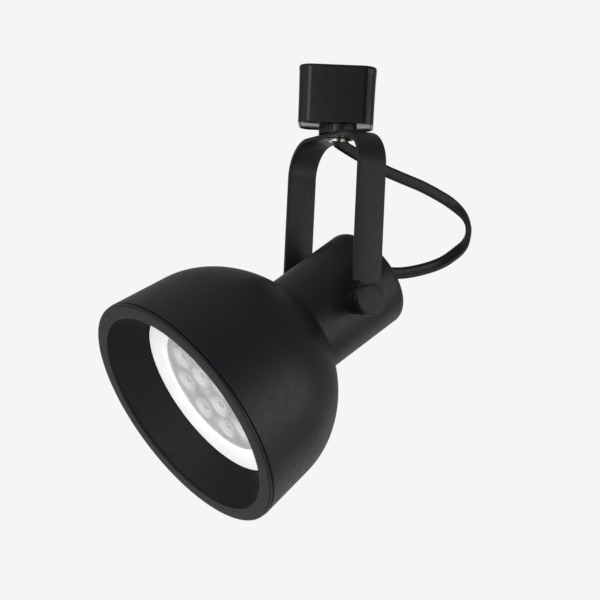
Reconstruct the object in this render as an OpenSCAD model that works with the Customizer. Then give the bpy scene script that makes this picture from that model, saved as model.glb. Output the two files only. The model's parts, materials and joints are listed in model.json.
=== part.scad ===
// Track spotlight: an adapter box, a swivelling strap yoke and a tilting bell-shaped head that
// holds a reflector lamp. Millimetres, +Z up, X along the track.
// The origin is the centre of the adapter's top face, the plane that meets the track.

/* [Pose] */
// Turn of the yoke about the stem, from the track's direction
pan_angle = -59.3; // [-75:0.1:-45]
// Drop of the head's axis below horizontal
tilt_angle = 37.3; // [36:0.1:39]

/* [Adapter] */
// Length of the adapter box along the track
adapter_w = 40.8; // [40:0.1:42]
// Width of the adapter box across the track
adapter_d = 27; // [26.6:0.1:28]
// Height of the adapter box
adapter_h = 30.7; // [30.7:0.1:31.5]
// Radius of the box's upright corners
adapter_r = 7; // [6:0.1:7.5]
// Thickness of the box's walls
adapter_wall = 1.8; // [1.5:0.1:2]
// How far the contact carriage rises out of the box
carriage_travel = 8.4; // [6:0.1:8.4]

/* [Stem] */
// Outer radius of the hollow stem that the yoke turns on
stem_r = 3.9; // [3.8:0.1:4.1]
// Radius of the stem's bore, which the cord passes through
stem_bore_r = 3.3; // [3.25:0.05:3.4]
// Distance of the stem from the middle of the box, along the track
stem_x = 1.2; // [0:0.1:1.5]
// How far the slotted collar stands out under the box
collar_h = 4.5; // [4.3:0.1:4.6]
// Radius of the slotted collar
collar_r = 10; // [9:0.1:11]

/* [Yoke] */
// Distance from the top of the adapter down to the tilt axis
pivot_drop = 125; // [124.8:0.1:125.2]
// Distance from the middle to the outer face of a leg
leg_out = 37.7; // [37.5:0.1:38]
// Thickness of the strap
strap_t = 2; // [1.8:0.1:2]
// Width of the strap
strap_w = 16.1; // [14:0.1:17]
// Outer radius of the strap's two upper bends
bend_r = 19; // [16:0.5:24]
// Height of the strap's square shoulders above the tilt axis
shoulder_h = 9.7; // [9:0.1:12]
// Radius of the round eye at the foot of a leg
eye_r = 6.5; // [6:0.1:7]
// Radius of a thumb knob
knob_r = 8.1; // [7.5:0.1:9]
// Thickness of a thumb knob
knob_t = 5.8; // [4:0.1:7]

/* [Head] */
// Outer radius of the rear can
can_r = 27.15; // [27:0.05:27.3]
// Distance from the tilt axis back to the can's rear face
can_rear = 30.2; // [30:0.1:31]
// Thickness of the can's sheet
can_wall = 1.2; // [1:0.1:1.2]
// Radius of the can's rounded rear edge
can_edge_r = 5; // [4:0.1:6]
// Outer radius of the bell at its mouth
mouth_r = 65; // [64.5:0.1:65.5]
// Distance from the tilt axis forward to the bell's mouth
mouth_s = 101; // [100.8:0.1:101.2]
// Thickness of the bell's sheet
bell_wall = 1.4; // [1:0.1:1.5]
// Inner radius of the flat trim ring
trim_in_r = 57.1; // [56.5:0.1:57.5]

/* [Lamp] */
// Radius of the lamp's white front ring
bezel_r = 47.7; // [47.5:0.1:47.8]
// Radius of the lamp's lens
lens_r = 36; // [35:0.1:37]
// Radius of one lens cup
cup_r = 6.8; // [6:0.1:6.9]

/* [Cord] */
// Width of the flat cord
cord_w = 6.3; // [5.5:0.1:6.3]
// Thickness of the flat cord
cord_t = 3.2; // [2.8:0.1:3.2]

/* [Hidden] */

fn = 96;                 // smoothness of the round parts
over = 1;                // how far a cutting shape runs past what it cuts
gap = 0.3;               // air between faces that move past each other
running = 0.06;          // radial clearance of a shaft in its bore
loose = 0.1;             // radial clearance of a screw in a plain hole
slide = 0.4;             // air round a piece that slides in the box
root = 0.5;              // how far a joined shape runs into its neighbour

// Adapter box and what is inside it
top_t = 2.4;                                   // thickness of the box's top
base_t = 2;                                    // thickness of the inset base plate
base_inset = 0.3;                              // parting line round the base plate
base_recess = 0.45;                            // height of the base plate inside the box's rim
base_foot = -adapter_h + base_recess;          // lower face of the base plate
base_top = base_foot + base_t;
post_w = 9.4;                                  // contact post along the track
post_d = 9;                                    // contact post across the track
post_x = 10.5;                                 // distance of a post from the middle
post_top = -0.4;                               // top of the posts, just under the top face
carriage_t = 2;                                // thickness of the carriage plate
carriage_d = 10.4;                             // width of the carriage plate across the track
carriage_z = -14.5;                            // underside of the carriage plate
carriage_plate_top = carriage_z + carriage_t;
contact_w = 4;                                 // width of a contact blade
contact_t = 0.5;                               // thickness of a contact blade
tab_w = 6;                                     // width of the thumb tab
tab_t = 2.5;                                   // thickness of the thumb tab
tab_reach = 2;                                 // how far the tab stands out of the box
tab_lip = 1.5;                                 // height of the lip at the tab's end
tab_lip_t = 1.2;                               // thickness of that lip
screw_at = [[-13.6, -8], [13.6, 8]];           // the two screws that hold the box together
screw_r = 1.1;
screw_head_r = 2.1;
screw_head_t = 1.3;
screw_seat = -1.6;                             // floor of a screw's counterbore
screw_foot = -20;                              // lower end of a screw
screw_hole_foot = -22;                         // lower end of the hole in its boss
recess_len = 2.6;                              // cross recess in a screw's head
recess_w = 0.6;
recess_depth = 0.6;
boss_r = 2.4;
boss_top = -6;
block_z = -22.5;                               // underside of the terminal block
block_h = 5;
block_w = 24;
block_d = 10;
block_leg_x = 10.5;                            // distance of a leg's middle from the centre
block_leg_w = 2;
block_leg_d = 5;
terminal_x = [-8, 0, 8];
terminal_r = 1.2;                              // shank of a terminal screw
terminal_head_r = 2;
terminal_head_t = 0.9;
terminal_len = 1.5;                            // shank below the terminal block's top

// Stem stack, measured from the top of the adapter
collar_z = -adapter_h - collar_h;              // underside of the collar
crossbar_top = collar_z - gap;
crossbar_under = crossbar_top - strap_t;
washer_top = crossbar_under - gap / 2;
washer_t = 0.3;
washer_r = 6.5;
lock_ring_h = 0.8;
lock_ring_r = 4.5;
stem_nut_across = 13;                          // across flats
stem_nut_h = 3;
stem_top = -24.6;
stem_foot = washer_top - washer_t - lock_ring_h - 0.1;
slots = 4;                                     // slots round the collar
slot_turn = -112.4;                            // direction of the first one, from the track
slot_w = 2.9;
slot_depth = 0.8;
slot_floor = 0.8;                              // solid rim left under the slots
rib_w = 0.5;                                   // thin rib up the middle of each slot

// Yoke, measured from the tilt axis
crossbar_h = pivot_drop + crossbar_top;        // top of the crossbar above the tilt axis
leg_in = leg_out - strap_t;
tongue_w = 8;                                  // width of the tongue between shoulders and eye
bush_r = 3.4;                                  // outer radius of the eye's bush

// Tilt pivot, distances along the tilt axis
shaft_r = 2.5;
shaft_bore_r = shaft_r + running;
shaft_in = 19.9;                               // inner end of a thumb screw
shaft_in_knob = 3;                             // how far its outer end sits in the knob
knob_edge_r = 0.9;
pivot_washer_r = 7.5;
pivot_washer_t = 0.8;
washer_face = leg_in - gap;
spacer_face = washer_face - pivot_washer_t;
spacer_r = 6.5;
spacer_start = can_r - 3;                      // before the can's curve is cut out of it
knob_face = leg_out + gap;
pivot_nut_across = 8;
pivot_nut_h = 3.4;

// Head, distances s along its axis: forward is negative, the tilt axis is at 0
neck_s = -24.6;                                // where the bell meets the can
dome_start = -69;                              // where the bell's dome begins
mouth_taper = 0.1207;                          // slope of the bell's straight flare
ring_front = -103.4;
ring_back = -101.4;
ring_edge_r = 1.2;
spigot_r = 62.6;
spigot_t = 1.8;
spigot_back = -95;
sleeve_len = 7;                                // how far the bell's sleeve runs into the can
sleeve_t = 1.2;
clip_len = 12;                                 // length of a trim clip
clip_w = 6;
clip_t = 0.5;
clip_hook = 1.5;                               // length of the clip's bent end
clip_in = 2.5;                                 // distance of a clip inside the spigot's outer face
clip_at = [30, 150, 270];
baffle_back = -83.6;
baffle_r = 48.2;
baffle_t = 1;
bezel_front = -83.3;
bezel_back = -76;
lens_front = -81.2;
lens_t = 1.5;
cup_h = 2.5;
cup_back_r = 3.4;                              // radius of a cup at its closed end
cup_root = 0.1;
cup_phase = -4;                                // angle of the first cup of each ring
board_front = -76.2;
board_r = 34;
board_t = 1.4;
led_w = 3.5;
led_t = 0.8;
outer_cups = 9;
outer_cup_r = 24.5;                            // radius of the outer ring of lens cups
inner_cups = 3;
inner_cup_r = 10.2;                            // radius of the inner ring of lens cups
cap_front = -14;
cap_rear = 5;
cap_r = 12.9;
cap_bore_r = 11;
thread_pitch = 3.6;
thread_depth = 0.35;
insulator_h = 3;
insulator_r = [11.5, 5];                       // radii of the glass cone, front and rear
tip_r = [4.8, 3.6];                            // radii of the end contact, front and rear
tip_rear = 9.2;
holder_r = 19;
holder_front = -12;
holder_floor = 12;
holder_rear = 19;
socket_r = 14.2;
socket_t = 0.5;
socket_len = 21;
spring_t = 0.5;                                // leaf of the centre contact
spring_w = 5;
spring_len = 8;
bracket_t = 1.5;
bracket_w = 14;
bracket_out = 24.6;                            // outer face of the bracket's legs
bracket_front = -7;
lead_hole_r = 4;
screw_x = 8.5;                                 // holder screws, off the axis
holder_screw_r = 1.6;
holder_screw_head_r = 2.8;
holder_screw_head_t = 1.5;
holder_lead_r = 1.2;
lead_x = 1.7;                                  // distance of a lead from the middle
lamp_wall = 2.2;                               // thickness of the lamp's housing
gland_r = 7;
gland_face = can_rear + 1.6;
gland_barrel_r = 4.9;
gland_barrel_len = 3.2;
gland_nut_across = 13;
gland_nut_h = 1.8;
gland_bore_r = 1.7;                            // the bore is two circles and a web, as the cord is
gland_bore_x = 1.6;

// Cord route in the yoke's middle plane: distance behind the tilt axis, height above it
cord_route = [
    [0, pivot_drop + stem_foot], [1.6, 84.9], [4.6, 83.7], [8.4, 82.3], [12.9, 80.8], [17.4, 79.1],
    [21.8, 77.5], [26.2, 75.8], [31, 74.2], [38, 72.4], [45.5, 70.6], [52.2, 69], [58.7, 67],
    [65.2, 64.7], [71.7, 62], [77.7, 58.5], [81.8, 55], [84.2, 50.8], [84.6, 47], [83.6, 43.2],
    [81.3, 39.4], [77.2, 35.3], [70.3, 30.2], [63.5, 26.8], [57, 24.4], [51, 22.6], [45, 21.2],
    [40, 20.5], [36, 20.3], [32, 20.6], [28.4, 20.5],
    [gland_face * cos(tilt_angle), gland_face * sin(tilt_angle)]
];

// Route of one lead from the stem to the terminal block, across the box and up
lead_route = [
    [0, -27], [0, -25.2], [-1.2, -23.9], [-3.5, -23.6], [-5.8, -23.2], [-6.6, -21.8],
    [-6.2, -20.4], [-block_d / 2, -20]
];
lead_r = 0.55;

// Outer radius of the bell at s: a straight flare times a quarter ellipse
function dome_len() = (neck_s - dome_start) / sqrt(1 - pow(can_r / flare_r(neck_s), 2));
function flare_r(s) = mouth_r - mouth_taper * (s + mouth_s);
function bell_r(s) = flare_r(s) * sqrt(1 - pow(max(0, s - dome_start) / dome_len(), 2));
function bell_slope(s) = (bell_r(s + 0.01) - bell_r(s - 0.01)) / 0.02;
function bell_normal(s) = [1, -bell_slope(s)] / sqrt(1 + pow(bell_slope(s), 2));
bell_steps = 26;
// stations from mouth to neck, closer together where the dome curves most
function bell_s(i) = let (f = i / bell_steps) -mouth_s + (neck_s + mouth_s) * (1 - pow(1 - f, 1.5));

// Frames
module at_stem() translate([stem_x, 0, 0]) children();
module at_yoke() translate([stem_x, 0, -pivot_drop]) rotate([0, 0, pan_angle]) children();
module at_head() at_yoke() rotate([tilt_angle - 90, 0, 0]) children();
module both_sides() for (turn = [0, 180]) rotate([0, 0, turn]) children();
module along_x() rotate([0, 90, 0]) children();

// Shapes used more than once
module rounded_rect(w, d, r) {
    square([w - 2 * r, d], center = true);
    square([w, d - 2 * r], center = true);
    for (x = [-1, 1], y = [-1, 1])
        translate([x * (w / 2 - r), y * (d / 2 - r)]) circle(r, $fn = fn);
}
module ring(r_out, r_in, h) {
    difference() {
        cylinder(r = r_out, h = h, $fn = fn);
        translate([0, 0, -over]) cylinder(r = r_in, h = h + 2 * over, $fn = fn);
    }
}
module disc_x(r, from, to)
    translate([from, 0, 0]) along_x() cylinder(r = r, h = to - from, $fn = fn);
module hex_nut(across, r_bore, h) {
    difference() {
        cylinder(d = across / cos(30), h = h, $fn = 6);
        translate([0, 0, -over]) cylinder(r = r_bore, h = h + 2 * over, $fn = fn);
    }
}
// a half outline with one rounded outer corner at its far end, for lathed cups
module cup_outline(r, len, edge_r) {
    square([r, len - edge_r]);
    square([r - edge_r, len]);
    translate([r - edge_r, len - edge_r]) intersection() {
        circle(edge_r, $fn = fn);
        square(edge_r);
    }
}

// A flat tube in the YZ plane along a list of [y, z] points, w wide along X and t thick.
// first and last are the directions that its two end faces look along.
sides = 8;
function unit(v) = v / norm(v);
function tangent(p, k, first, last) =
    k == 0 ? first : k == len(p) - 1 ? last : unit(unit(p[k + 1] - p[k]) + unit(p[k] - p[k - 1]));
function section(p, k, w, t, first, last) =
    let (d = tangent(p, k, first, last), n = [-d[1], d[0]])
    [for (j = [0 : sides - 1])
        let (a = (j + 0.5) * 360 / sides, q = p[k] + n * t / 2 * sin(a) / cos(180 / sides))
            [w / 2 * cos(a) / cos(180 / sides), q[0], q[1]]];
module flat_tube(p, w, t, first, last) {
    n = len(p);
    points = [for (k = [0 : n - 1]) each section(p, k, w, t, first, last)];
    skin = [for (k = [0 : n - 2], j = [0 : sides - 1])
        let (a = k * sides + j, b = k * sides + (j + 1) % sides)
        each [[a, b, b + sides], [a, b + sides, a + sides]]];
    start_face = [for (j = [sides - 1 : -1 : 0]) j];
    end_face = [for (j = [0 : sides - 1]) (n - 1) * sides + j];
    polyhedron(points, concat(skin, [start_face, end_face]), convexity = 6);
}

// ---- adapter ----

module adapter_housing() color("#1f1f20") difference() {
    translate([0, 0, -adapter_h]) linear_extrude(adapter_h) rounded_rect(adapter_w, adapter_d, adapter_r);
    translate([0, 0, -adapter_h - over]) linear_extrude(adapter_h - top_t + over)
        rounded_rect(adapter_w - 2 * adapter_wall, adapter_d - 2 * adapter_wall, adapter_r - adapter_wall);
    for (x = [-post_x, post_x]) translate([x, 0, 0])
        cube([post_w + 2 * slide, post_d + 2 * slide, 4 * top_t], center = true);
    for (p = screw_at) translate([p[0], p[1], 0]) {
        translate([0, 0, screw_seat]) cylinder(r = screw_head_r + loose, h = over - screw_seat, $fn = fn);
        translate([0, 0, -top_t - over]) cylinder(r = screw_r + loose, h = top_t + 2 * over, $fn = fn);
    }
    // slot that the thumb tab slides in
    translate([-tab_w / 2 - slide, adapter_d / 2 - adapter_wall - over, carriage_z - gap])
        cube([tab_w + 2 * slide, adapter_wall + 2 * over, tab_t + carriage_travel + 2 * gap]);
}

module adapter_base_plate() color("#1f1f20") {
    inner_w = adapter_w - 2 * (adapter_wall + base_inset);
    inner_d = adapter_d - 2 * (adapter_wall + base_inset);
    difference() {
        union() {
            translate([0, 0, base_foot]) linear_extrude(base_t)
                rounded_rect(inner_w, inner_d, adapter_r - adapter_wall - base_inset);
            for (p = screw_at) translate([p[0], p[1], base_top - root])
                cylinder(r = boss_r, h = boss_top - base_top + root, $fn = fn);
        }
        at_stem() translate([0, 0, base_foot - over]) cylinder(r = stem_r, h = base_t + 2 * over, $fn = fn);
        for (p = screw_at) translate([p[0], p[1], screw_hole_foot])
            cylinder(r = screw_r, h = -screw_hole_foot, $fn = fn);
    }
}

module adapter_screws() color("#606164") for (p = screw_at) translate([p[0], p[1], 0]) difference() {
    union() {
        translate([0, 0, screw_seat]) cylinder(r = screw_head_r, h = screw_head_t, $fn = fn);
        translate([0, 0, screw_foot]) cylinder(r = screw_r, h = screw_seat - screw_foot + root, $fn = fn);
    }
    for (turn = [0, 90]) rotate([0, 0, turn]) translate([0, 0, screw_seat + screw_head_t])
        cube([recess_len, recess_w, 2 * recess_depth], center = true);
}

module terminal_block() color("#e9e6dc") difference() {
    union() {
        translate([-block_w / 2, -block_d / 2, block_z]) cube([block_w, block_d, block_h]);
        for (x = [-block_leg_x, block_leg_x])
            translate([x - block_leg_w / 2, -block_leg_d / 2, base_top])
                cube([block_leg_w, block_leg_d, block_z - base_top + root]);
    }
    for (x = terminal_x) translate([x, 0, block_z + block_h - terminal_len])
        cylinder(r = terminal_r, h = terminal_len + over, $fn = fn);
}

module terminal_screws() color("#b8a25a")
    for (x = terminal_x) translate([x, 0, block_z + block_h]) difference() {
        union() {
            cylinder(r = terminal_head_r, h = terminal_head_t, $fn = fn);
            translate([0, 0, -terminal_len]) cylinder(r = terminal_r, h = terminal_len + root, $fn = fn);
        }
        translate([0, 0, terminal_head_t])
            cube([3 * terminal_head_r, recess_w, terminal_head_t], center = true);
    }

module adapter_leads() color("#202022") for (x = [-lead_x, lead_x]) translate([stem_x + x, 0, 0])
    flat_tube(lead_route, 2 * lead_r, 2 * lead_r, [0, 1], [1, 0]);

module contact_carriage() color("#2a2a2b") difference() {
    union() {
        translate([-post_x - post_w / 2, -carriage_d / 2, carriage_z])
            cube([2 * post_x + post_w, carriage_d, carriage_t]);
        for (x = [-post_x, post_x]) translate([x - post_w / 2, -post_d / 2, carriage_z])
            cube([post_w, post_d, post_top - carriage_z]);
    }
    for (c = contact_places) contact_blade(c[0], c[1], post_top + over);
}

// places of the three blades: post, and the side of the post that they lie in
contact_places = [[-post_x, -1], [-post_x, 1], [post_x, -1]];
module contact_blade(x, side, top) {
    y = side * (post_d / 2 - contact_t / 2);
    translate([x - contact_w / 2, y - contact_t / 2, carriage_plate_top])
        cube([contact_w, contact_t, top - carriage_plate_top]);
}
module fitted_blade(k) contact_blade(contact_places[k][0], contact_places[k][1], post_top);
module live_contact() color("#c8864a") fitted_blade(0);
module neutral_contact() color("#c8864a") fitted_blade(1);
module ground_contact() color("#c8864a") fitted_blade(2);

module thumb_tab() color("#1f1f20") {
    start = carriage_d / 2;
    reach = adapter_d / 2 + tab_reach;
    translate([-tab_w / 2, start, carriage_z]) cube([tab_w, reach - start, tab_t]);
    translate([-tab_w / 2, reach - tab_lip_t, carriage_z]) cube([tab_w, tab_lip_t, tab_t + tab_lip]);
}

// ---- stem ----

module neck_collar() color("#242425") at_stem() difference() {
    translate([0, 0, collar_z]) ring(collar_r, stem_r, base_foot - collar_z);
    for (k = [0 : slots - 1], side = [-1, 1]) rotate([0, 0, slot_turn + k * 360 / slots])
        translate([collar_r - slot_depth, side * (slot_w + rib_w) / 4, collar_z + slot_floor])
            translate([0, (rib_w - slot_w) / 4, 0]) cube([slot_depth + over, (slot_w - rib_w) / 2, collar_h + base_recess]);
}

module stem_nipple() color("#d6d3cc") at_stem()
    translate([0, 0, stem_foot]) ring(stem_r, stem_bore_r, stem_top - stem_foot);

module stem_nut() color("#8d8e90") at_stem() translate([0, 0, base_top])
    hex_nut(stem_nut_across, stem_r, stem_nut_h);

module friction_washer() color("#242425") at_stem()
    translate([0, 0, washer_top - washer_t]) ring(washer_r, stem_r, washer_t);

module lock_ring() color("#d6d3cc") at_stem()
    translate([0, 0, washer_top - washer_t - lock_ring_h]) ring(lock_ring_r, stem_r, lock_ring_h);

// ---- yoke ----

module arch(half_w, top, r) {
    translate([-half_w, -eye_r]) square([2 * half_w, top - r + eye_r]);
    translate([-half_w + r, -eye_r]) square([2 * (half_w - r), top + eye_r]);
    for (x = [-1, 1]) translate([x * (half_w - r), top - r]) circle(r, $fn = fn);
}

module yoke_strap() color("#2f2f30") at_yoke() difference() {
    intersection() {
        rotate([90, 0, 0]) translate([0, 0, -strap_w / 2]) linear_extrude(strap_w) difference() {
            arch(leg_out, crossbar_h, bend_r);
            translate([0, -over]) arch(leg_in, crossbar_h - strap_t + over, bend_r - strap_t);
            translate([-leg_in, -eye_r - over]) square([2 * leg_in, 2 * over]);
        }
        translate([-leg_out - over, 0, 0]) rotate([90, 0, 90]) linear_extrude(2 * leg_out + 2 * over) {
            translate([-strap_w / 2, shoulder_h]) square([strap_w, crossbar_h]);
            translate([-tongue_w / 2, 0]) square([tongue_w, shoulder_h + over]);
            circle(eye_r, $fn = fn);
        }
    }
    translate([0, 0, crossbar_h - strap_t - over])
        cylinder(r = stem_r + running, h = strap_t + 2 * over, $fn = fn);
    disc_x(bush_r, -leg_out - over, leg_out + over);
}

module eye_bushes() color("#d8d6cf") at_yoke() both_sides() difference() {
    disc_x(bush_r, leg_in, leg_out);
    disc_x(shaft_bore_r, leg_in - over, leg_out + over);
}

// ---- tilt pivot, on the head ----

module pivot_washers() color("#242425") at_yoke() both_sides() difference() {
    disc_x(pivot_washer_r, spacer_face, washer_face);
    disc_x(shaft_bore_r, spacer_face - over, washer_face + over);
}

module pivot_spacers() color("#2b2b2c") at_head() both_sides() difference() {
    disc_x(spacer_r, spacer_start, spacer_face);
    disc_x(shaft_bore_r, spacer_start - over, spacer_face + over);
    translate([0, 0, -2 * spacer_r]) cylinder(r = can_r, h = 4 * spacer_r, $fn = fn);
}

module pivot_nuts() color("#9a9b9e") at_head() both_sides()
    translate([bracket_out - bracket_t - pivot_nut_h, 0, 0])
        along_x() hex_nut(pivot_nut_across, shaft_bore_r, pivot_nut_h);

module knob() difference() {
    translate([knob_face, 0, 0]) along_x() rotate_extrude($fn = fn) {
        square([knob_r - knob_edge_r, knob_t]);
        square([knob_r, knob_t - knob_edge_r]);
        translate([knob_r - knob_edge_r, knob_t - knob_edge_r]) circle(knob_edge_r, $fn = fn);
    }
    disc_x(shaft_r, knob_face - over, knob_face + shaft_in_knob);
}
module thumb_screw() disc_x(shaft_r, shaft_in, knob_face + shaft_in_knob);
module tilt_knob_near() color("#2e2e2f") at_yoke() knob();
module tilt_knob_far() color("#2e2e2f") at_yoke() rotate([0, 0, 180]) knob();
module tilt_screw_near() color("#8d8e90") at_yoke() thumb_screw();
module tilt_screw_far() color("#8d8e90") at_yoke() rotate([0, 0, 180]) thumb_screw();

// ---- shade ----

module rear_can() color("#2c2c2d") at_head() difference() {
    translate([0, 0, neck_s]) rotate_extrude($fn = fn) difference() {
        cup_outline(can_r, can_rear - neck_s, can_edge_r);
        translate([0, -over])
            cup_outline(can_r - can_wall, can_rear - neck_s - can_wall + over, can_edge_r - can_wall);
        translate([0, can_rear - neck_s - 2 * can_wall]) square([gland_barrel_r, 4 * can_wall]);
    }
    disc_x(shaft_r + slide, -can_r - over, can_r + over);
}

module bell_shade() color("#2c2c2d") at_head() rotate_extrude($fn = fn) {
    outside = [for (i = [0 : bell_steps]) [bell_r(bell_s(i)), bell_s(i)]];
    inside = [for (i = [bell_steps - 1 : -1 : 0]) let (s = bell_s(i), n = bell_normal(s))
        [bell_r(s) - bell_wall * n[0], i == 0 ? s : s - bell_wall * n[1]]];
    sleeve_out = can_r - can_wall;
    sleeve_in = sleeve_out - sleeve_t;
    polygon(concat(outside, [[sleeve_out, neck_s], [sleeve_out, neck_s + sleeve_len],
        [sleeve_in, neck_s + sleeve_len], [sleeve_in, neck_s - bell_wall]], inside));
}

module trim_ring() color("#2a2a2b") at_head() rotate_extrude($fn = fn) {
    edge_r_fit = ring_edge_r - 0.001;    // a hair under, so that the arc doesn't only touch its squares
    spigot_root = 0.2;
    translate([trim_in_r, ring_front + ring_edge_r])
        square([mouth_r - trim_in_r, ring_back - ring_front - ring_edge_r]);
    translate([trim_in_r, ring_front]) square([mouth_r - trim_in_r - ring_edge_r, ring_edge_r]);
    translate([mouth_r - ring_edge_r, ring_front + ring_edge_r]) circle(edge_r_fit, $fn = fn);
    translate([spigot_r - spigot_t, ring_back - spigot_root])
        square([spigot_t, spigot_back - ring_back + spigot_root]);
}

module baffle() color("#1c1c1d") at_head() rotate_extrude($fn = fn)
    polygon([[trim_in_r, ring_back], [spigot_r - spigot_t, ring_back],
        [spigot_r - spigot_t, ring_back + baffle_t], [trim_in_r + baffle_t, ring_back + baffle_t],
        [baffle_r + baffle_t, baffle_back], [baffle_r, baffle_back]]);

module trim_clips() color("#9a9b9e") at_head() for (turn = clip_at)
    rotate([0, 0, turn]) translate([spigot_r - clip_in, -clip_w / 2, ring_back + baffle_t + loose]) {
        cube([clip_t, clip_w, clip_len]);
        translate([0, 0, clip_len - clip_t]) cube([clip_hook, clip_w, clip_t]);
    }

// ---- lamp holder ----

module holder_bracket() color("#a9aaac") at_head() difference() {
    union() {
        translate([-bracket_out, -bracket_w / 2, holder_rear])
            cube([2 * bracket_out, bracket_w, bracket_t]);
        for (x = [-bracket_out, bracket_out - bracket_t]) translate([x, -bracket_w / 2, bracket_front])
            cube([bracket_t, bracket_w, holder_rear + bracket_t - bracket_front]);
    }
    disc_x(shaft_bore_r, -bracket_out - over, bracket_out + over);
    translate([0, 0, holder_rear - over]) {
        cylinder(r = lead_hole_r, h = bracket_t + 2 * over, $fn = fn);
        for (x = [-screw_x, screw_x]) translate([x, 0, 0])
            cylinder(r = holder_screw_r, h = bracket_t + 2 * over, $fn = fn);
    }
}

module lamp_holder() color("#ece9e0") at_head() difference() {
    translate([0, 0, holder_front]) cylinder(r = holder_r, h = holder_rear - holder_front, $fn = fn);
    translate([0, 0, holder_front - over])
        cylinder(r = socket_r, h = holder_floor - holder_front + over, $fn = fn);
    for (x = [-screw_x, screw_x]) translate([x, 0, holder_floor - over])
        cylinder(r = holder_screw_r + loose, h = holder_rear - holder_floor + 2 * over, $fn = fn);
}

module holder_screws() color("#9a9b9e") at_head()
    for (x = [-screw_x, screw_x]) translate([x, 0, holder_floor]) {
        translate([0, 0, -holder_screw_head_t])
            cylinder(r = holder_screw_head_r, h = holder_screw_head_t, $fn = fn);
        cylinder(r = holder_screw_r, h = holder_rear - holder_floor + bracket_t + over, $fn = fn);
    }

module socket_shell() color("#c9a348") at_head()
    translate([0, 0, holder_front + socket_t]) ring(socket_r, socket_r - socket_t, socket_len);

module centre_contact() color("#c9a348") at_head() {
    translate([-spring_w / 2, -spring_len / 2, tip_rear]) cube([spring_w, spring_len, spring_t]);
    translate([-spring_w / 2, spring_len / 2 - spring_t, tip_rear])
        cube([spring_w, spring_t, holder_floor - tip_rear]);
}

module holder_leads() color("#202022") at_head() for (x = [-lead_x, lead_x])
    translate([x, 0, holder_rear]) cylinder(r = holder_lead_r, h = can_rear - holder_rear, $fn = fn);

module cable_gland() color("#1d1d1e") at_head() difference() {
    union() {
        translate([0, 0, can_rear]) cylinder(r = gland_r, h = gland_face - can_rear, $fn = fn);
        translate([0, 0, can_rear - gland_barrel_len])
            cylinder(r = gland_barrel_r, h = gland_barrel_len + root, $fn = fn);
    }
    translate([0, 0, can_rear - gland_barrel_len - over])
        linear_extrude(gland_face - can_rear + gland_barrel_len + 2 * over) {
            square([2 * gland_bore_x, 2 * gland_bore_r], center = true);
            for (x = [-gland_bore_x, gland_bore_x]) translate([x, 0]) circle(gland_bore_r, $fn = fn);
        }
}

module gland_nut() color("#8d8e90") at_head()
    translate([0, 0, can_rear - can_wall - gland_nut_h])
        hex_nut(gland_nut_across, gland_barrel_r, gland_nut_h);

// ---- lamp ----

module lamp_screw_cap() color("#c8c6c0") at_head() rotate_extrude($fn = fn) {
    steps = 42;
    length = cap_rear - cap_front;
    polygon(concat([[cap_bore_r, cap_front], [cap_r, cap_front]],
        [for (i = [1 : steps - 1]) let (s = length * i / steps)
            [cap_r + thread_depth * sin(360 * s / thread_pitch), cap_front + s]],
        [[cap_r - 1, cap_rear], [cap_bore_r, cap_rear]]));
}

module lamp_insulator() color("#1b1b1b") at_head() {
    translate([0, 0, cap_rear])
        cylinder(r1 = insulator_r[0], r2 = insulator_r[1], h = insulator_h, $fn = fn);
    translate([0, 0, cap_front]) cylinder(r = cap_bore_r, h = cap_rear - cap_front, $fn = fn);
}

module lamp_tip_contact() color("#b9b7b2") at_head()
    translate([0, 0, cap_rear + insulator_h])
        cylinder(r1 = tip_r[0], r2 = tip_r[1], h = tip_rear - cap_rear - insulator_h, $fn = fn);

// radius and place of the lamp housing's corners, from its neck forward
lamp_outline = [[15, cap_front], [16.5, cap_front - 2], [17, -20], [19.5, -27], [25, -38], [33, -50],
    [41, -61], [45.5, -69], [46.9, bezel_back]];
module lamp_body() color("#f2f2f0") at_head() rotate_extrude($fn = fn) {
    seat = board_front + board_t;      // the board rests on a flange this far forward
    flange_t = 2;
    rim_r = 44;
    floor_t = 3;
    inner = [for (i = [len(lamp_outline) - 2 : -1 : 1])
        [lamp_outline[i][0] - lamp_wall, lamp_outline[i][1] - 1]];
    polygon(concat(lamp_outline,
        [[rim_r, bezel_back], [rim_r, seat], [board_r, seat], [board_r, seat + flange_t],
            [rim_r - 1, seat + flange_t]],
        inner, [[lamp_outline[0][0] - lamp_wall, cap_front - floor_t], [0, cap_front - floor_t],
            [0, cap_front]]));
}

module lamp_bezel() color("#f7f7f6") at_head() rotate_extrude($fn = fn) {
    edge = 0.8;          // bevel of the outer edges
    dish = 1.2;          // how far the face slopes back towards the lens
    lip = 0.9;           // from the end of the slope to the lens
    polygon([[lens_r, bezel_back], [bezel_r - edge, bezel_back], [bezel_r, bezel_back - edge],
        [bezel_r, bezel_front + edge], [bezel_r - edge, bezel_front],
        [lens_r + 2 * lip, bezel_front + dish], [lens_r + lip / 2, bezel_front + dish + lip / 2],
        [lens_r, bezel_front + dish + lip]]);
}

module round_ring(count, r) for (k = [0 : count - 1])
    rotate([0, 0, cup_phase + k * 360 / count]) translate([r, 0, 0]) children();
module at_cups() {
    round_ring(outer_cups, outer_cup_r) children();
    round_ring(inner_cups, inner_cup_r) children();
}

module lamp_lens() color("#cfd0cd") at_head() {
    translate([0, 0, lens_front]) cylinder(r = lens_r, h = lens_t, $fn = fn);
    at_cups() translate([0, 0, lens_front + lens_t - cup_root])
        cylinder(r1 = cup_r, r2 = cup_back_r, h = cup_h, $fn = fn);
}

module led_board() color("#efefed") at_head()
    translate([0, 0, board_front]) cylinder(r = board_r, h = board_t, $fn = fn);

module leds() color("#e8d27a") at_head() at_cups()
    translate([-led_w / 2, -led_w / 2, board_front - led_t]) cube([led_w, led_w, led_t]);

// ---- cord ----

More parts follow.
